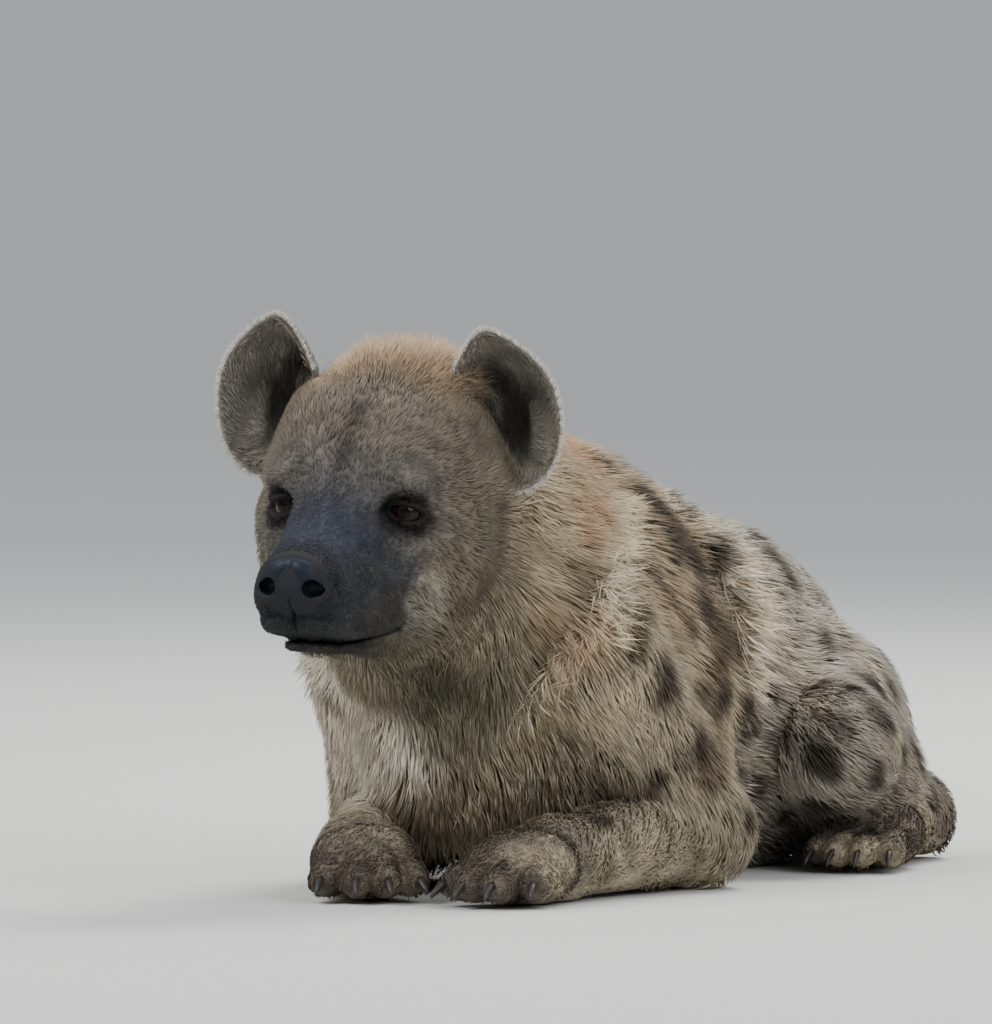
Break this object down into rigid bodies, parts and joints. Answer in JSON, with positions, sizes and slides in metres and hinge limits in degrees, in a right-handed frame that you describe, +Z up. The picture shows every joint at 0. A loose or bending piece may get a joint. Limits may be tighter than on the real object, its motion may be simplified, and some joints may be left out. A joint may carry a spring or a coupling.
{
  "type": "spotted hyena model",
  "caption": "Life-size still model of a spotted hyena lying on its chest with its forelegs in front and its head raised.",
  "frame": {"origin": "middle of the bounding box on the floor plane", "axes": "+Z up, +Y from the head to the rump, so the animal faces -Y; +X to the animal's left"},
  "size_m": [0.439, 1.0148, 0.4298],
  "materials": {
    "coat": "short to shaggy fur, tan-grey with dark brown spots",
    "dark_face_coat": "very short blackish fur",
    "dark_brush": "long blackish hair",
    "nose_skin": "moist black skin",
    "eye": "dark brown, wet gloss"
  },
  "bodies": {
    "root": {"forepaw_left": "coat", "forearm_left": "coat", "hindpaw_left": "coat", "hindfoot_left": "coat", "thigh_left": "coat", "shoulder_left": "coat", "forepaw_right": "coat", "forearm_right": "coat", "hindpaw_right": "coat", "hindfoot_right": "coat", "thigh_right": "coat", "shoulder_right": "coat", "lower_jaw": "dark_face_coat", "nose": "nose_skin", "muzzle": "dark_face_coat", "head": "coat", "tail": "coat", "neck": "coat", "rump": "coat", "torso": "coat", "ear_left": "coat", "eye_left": "eye", "ear_right": "coat", "eye_right": "eye", "tail_brush": "dark_brush"}
  },
  "joints": []
}
